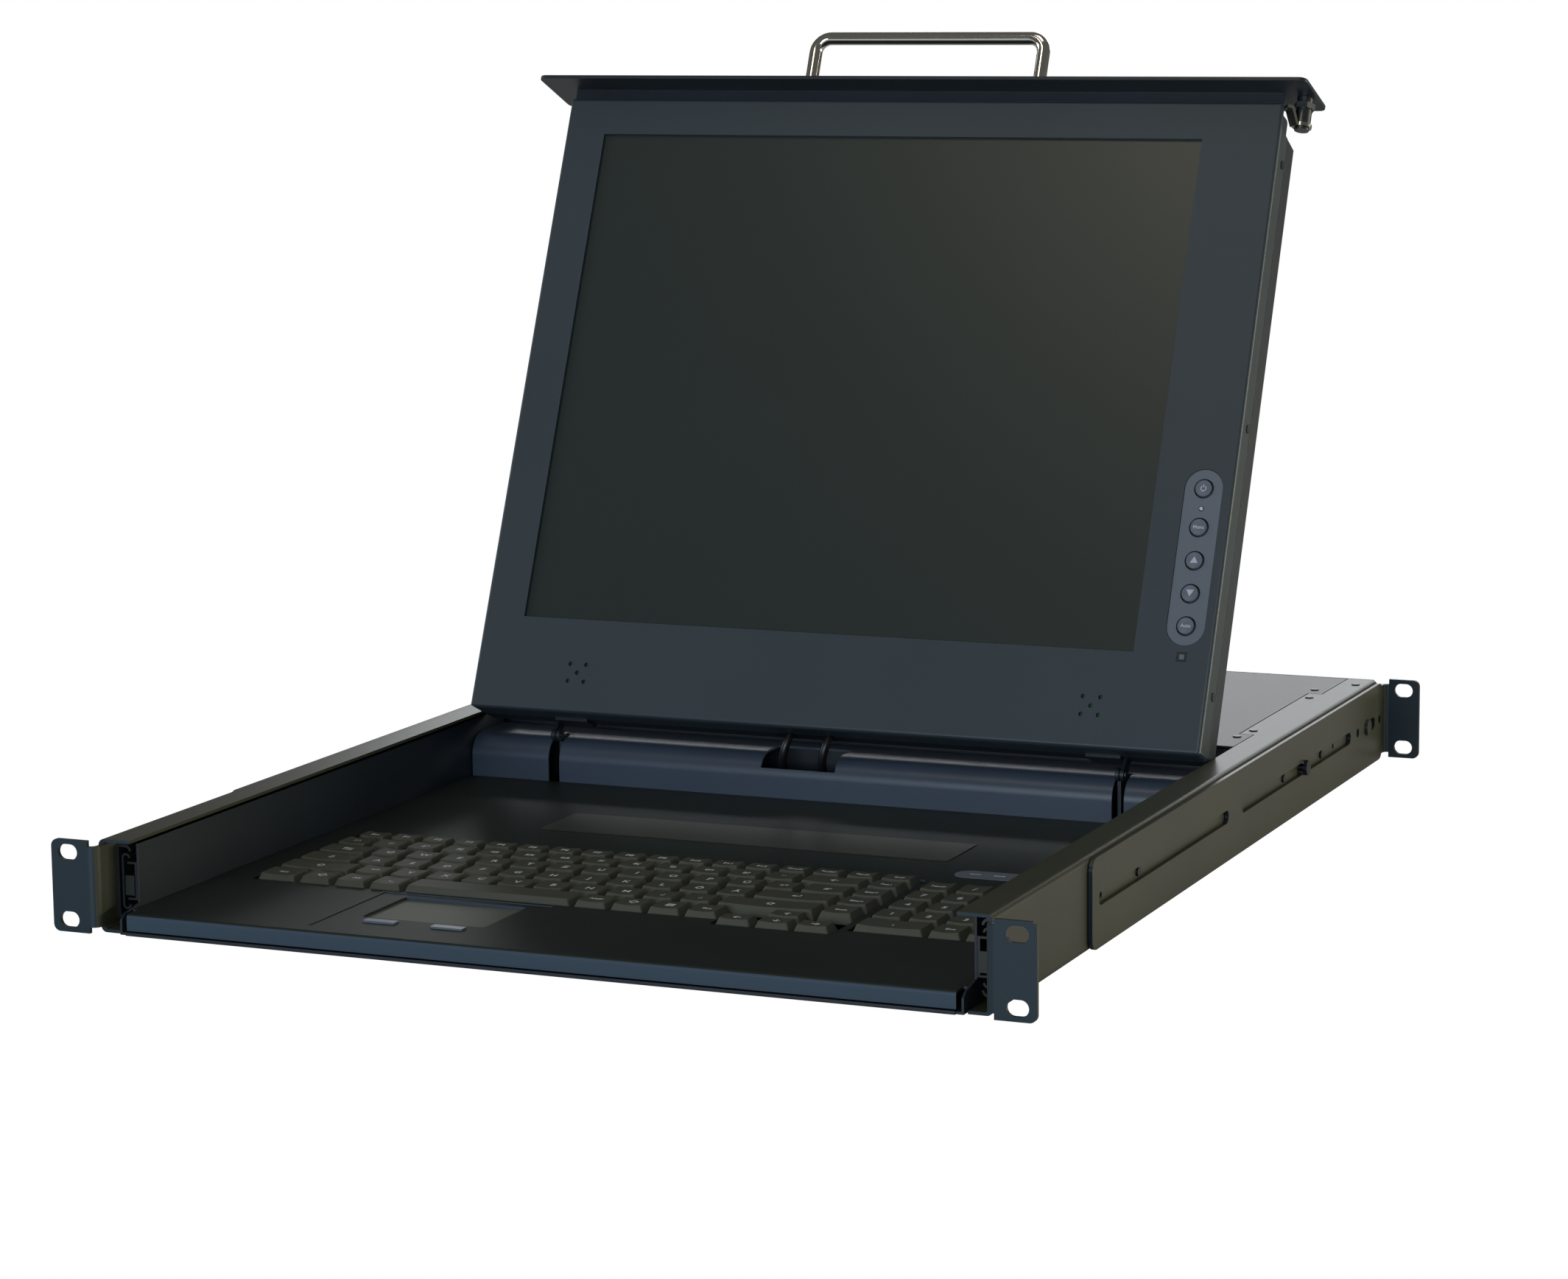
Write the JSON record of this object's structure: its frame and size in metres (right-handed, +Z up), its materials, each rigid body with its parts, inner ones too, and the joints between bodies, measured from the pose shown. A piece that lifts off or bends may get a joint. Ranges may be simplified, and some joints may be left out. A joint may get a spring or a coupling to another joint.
{
  "type": "kvm switch",
  "caption": "Rack-mounted console drawer with a fold-up screen, keyboard, touchpad and a built-in keyboard, video and mouse switch.",
  "frame": {"origin": "centre of the four front rack slots, in the front plane of the ears", "axes": "+X right seen from the front, +Y to the rear, +Z up"},
  "size_m": [0.4826, 0.622, 0.4001],
  "materials": {
    "olive_sheet": "satin powder coat",
    "navy_sheet": "satin powder coat",
    "rear_sheet": "wrinkle powder coat",
    "cover_sheet": "satin powder coat",
    "deck_sheet": "fine satin",
    "slide_steel": "zinc plated",
    "bright_steel": "polished",
    "plated_shell": "tin plated",
    "black_plastic": "matte",
    "key_plastic": "fine matte",
    "button_plastic": "satin",
    "strip_plastic": "satin",
    "touch_surface": "fine matte",
    "label_film": "satin film",
    "dark_film": "satin film",
    "ps2_plastic": "matte",
    "bumper_plastic": "translucent grey",
    "panel_face": "anti-glare",
    "board_green": "solder mask",
    "screw_steel": "blackened",
    "cable_jacket": "matte"
  },
  "bodies": {
    "housing": {"left_outer_rail": "olive_sheet", "right_outer_rail": "olive_sheet", "bottom_pan": "navy_sheet", "top_cover": "cover_sheet", "divider_wall": "navy_sheet", "rear_panel": "rear_sheet", "switch_board": "board_green", "power_supply": "plated_shell", "power_inlet": "black_plastic", "connector_pins": "bright_steel", "power_switch_frame": "black_plastic", "lan_port": "plated_shell", "d_sub_connectors": "plated_shell", "ps2_ports": "ps2_plastic", "console_label_plate": "label_film", "port_block_shield": "plated_shell", "port_inserts": "black_plastic", "housing_screws": "screw_steel", "outer_slide_members": "slide_steel"},
    "left_bracket": {"left_rear_bracket": "olive_sheet"},
    "right_bracket": {"right_rear_bracket": "olive_sheet"},
    "rocker": {"power_rocker": "black_plastic"},
    "left_slide": {"left_middle_slide": "slide_steel"},
    "right_slide": {"right_middle_slide": "slide_steel"},
    "drawer": {"drawer_tray": "navy_sheet", "keyboard_deck": "deck_sheet", "hinge_beam": "navy_sheet", "hinge_brackets": "navy_sheet", "hinge_pins": "slide_steel", "inner_slide_members": "slide_steel", "slide_bumpers": "bumper_plastic", "keyboard_base": "black_plastic", "touchpad": "touch_surface", "lock_led_strip": "strip_plastic", "deck_label_plate": "dark_film"},
    "screen": {"screen_bezel": "navy_sheet", "screen_cover": "navy_sheet", "display_panel": "panel_face", "screen_board": "board_green", "osd_strip": "strip_plastic", "hinge_arms": "navy_sheet", "front_bar": "navy_sheet", "pull_handle": "bright_steel", "lock_barrel": "bright_steel", "screen_screws": "screw_steel", "screen_cables": "cable_jacket"},
    "lock": {"lock_cam": "bright_steel"},
    "top_row_keys_body": {"top_row_keys": "key_plastic"},
    "letter_keys_body": {"letter_keys": "key_plastic"},
    "modifier_keys_body": {"modifier_keys": "key_plastic"},
    "space_bar_body": {"space_bar": "key_plastic"},
    "navigation_keys_body": {"navigation_keys": "key_plastic"},
    "numpad_keys_body": {"numpad_keys": "key_plastic"},
    "left_touchpad_button_body": {"left_touchpad_button": "button_plastic"},
    "right_touchpad_button_body": {"right_touchpad_button": "button_plastic"},
    "power_button_body": {"power_button": "button_plastic"},
    "menu_button_body": {"menu_button": "button_plastic"},
    "up_button_body": {"up_button": "button_plastic"},
    "down_button_body": {"down_button": "button_plastic"},
    "auto_button_body": {"auto_button": "button_plastic"}
  },
  "joints": [
    {"name": "left_bracket_slide", "type": "slide", "parent": "housing", "child": "left_bracket", "axis": [0, 1, 0], "range_m": [-0.048, 0.048]},
    {"name": "right_bracket_slide", "type": "slide", "parent": "housing", "child": "right_bracket", "axis": [0, 1, 0], "range_m": [-0.048, 0.048]},
    {"name": "power_rocker_tilt", "type": "hinge", "parent": "housing", "child": "rocker", "pos_m": [0.1489, 0.6136, 0.00285], "axis": [1, 0, 0], "range_deg": [-24, 0]},
    {"name": "drawer_slide", "type": "slide", "parent": "housing", "child": "drawer", "axis": [0, -1, 0], "range_m": [0, 0.4]},
    {"name": "left_slide_run", "type": "slide", "parent": "housing", "child": "left_slide", "axis": [0, -1, 0], "range_m": [0, 0.2]},
    {"name": "right_slide_run", "type": "slide", "parent": "housing", "child": "right_slide", "axis": [0, -1, 0], "range_m": [0, 0.2]},
    {"name": "screen_hinge", "type": "hinge", "parent": "drawer", "child": "screen", "pos_m": [0, 0.358, 0.01234], "axis": [1, 0, 0], "range_deg": [0, 113.5], "deforming": ["screen_cables"]},
    {"name": "lock_turn", "type": "hinge", "parent": "screen", "child": "lock", "pos_m": [0.2104, 0.48667, 0.33019], "axis": [0, 0.3987, 0.9171], "range_deg": [0, 135]},
    {"name": "top_row_keys_press", "type": "slide", "parent": "drawer", "child": "top_row_keys_body", "axis": [0, 0, -1], "range_m": [0, 0.002], "stiffness_N_per_m": 1500, "springref_m": -0.0012},
    {"name": "letter_keys_press", "type": "slide", "parent": "drawer", "child": "letter_keys_body", "axis": [0, 0, -1], "range_m": [0, 0.002], "stiffness_N_per_m": 1500, "springref_m": -0.0012},
    {"name": "modifier_keys_press", "type": "slide", "parent": "drawer", "child": "modifier_keys_body", "axis": [0, 0, -1], "range_m": [0, 0.002], "stiffness_N_per_m": 1500, "springref_m": -0.0012},
    {"name": "space_bar_press", "type": "slide", "parent": "drawer", "child": "space_bar_body", "axis": [0, 0, -1], "range_m": [0, 0.002], "stiffness_N_per_m": 1500, "springref_m": -0.0012},
    {"name": "navigation_keys_press", "type": "slide", "parent": "drawer", "child": "navigation_keys_body", "axis": [0, 0, -1], "range_m": [0, 0.002], "stiffness_N_per_m": 1500, "springref_m": -0.0012},
    {"name": "numpad_keys_press", "type": "slide", "parent": "drawer", "child": "numpad_keys_body", "axis": [0, 0, -1], "range_m": [0, 0.002], "stiffness_N_per_m": 1500, "springref_m": -0.0012},
    {"name": "left_touchpad_button_press", "type": "slide", "parent": "drawer", "child": "left_touchpad_button_body", "axis": [0, 0, -1], "range_m": [0, 0.0007], "stiffness_N_per_m": 800, "springref_m": -0.0005},
    {"name": "right_touchpad_button_press", "type": "slide", "parent": "drawer", "child": "right_touchpad_button_body", "axis": [0, 0, -1], "range_m": [0, 0.0007], "stiffness_N_per_m": 800, "springref_m": -0.0005},
    {"name": "power_button_press", "type": "slide", "parent": "screen", "child": "power_button_body", "axis": [0, 0.9171, -0.3987], "range_m": [0, 0.0008], "stiffness_N_per_m": 800, "springref_m": -0.0005},
    {"name": "menu_button_press", "type": "slide", "parent": "screen", "child": "menu_button_body", "axis": [0, 0.9171, -0.3987], "range_m": [0, 0.0008], "stiffness_N_per_m": 800, "springref_m": -0.0005},
    {"name": "up_button_press", "type": "slide", "parent": "screen", "child": "up_button_body", "axis": [0, 0.9171, -0.3987], "range_m": [0, 0.0008], "stiffness_N_per_m": 800, "springref_m": -0.0005},
    {"name": "down_button_press", "type": "slide", "parent": "screen", "child": "down_button_body", "axis": [0, 0.9171, -0.3987], "range_m": [0, 0.0008], "stiffness_N_per_m": 800, "springref_m": -0.0005},
    {"name": "auto_button_press", "type": "slide", "parent": "screen", "child": "auto_button_body", "axis": [0, 0.9171, -0.3987], "range_m": [0, 0.0008], "stiffness_N_per_m": 800, "springref_m": -0.0005}
  ],
  "couplings": [
    {"joint": "left_slide_run", "follows": "drawer_slide", "ratio": 0.5},
    {"joint": "right_slide_run", "follows": "drawer_slide", "ratio": 0.5}
  ]
}
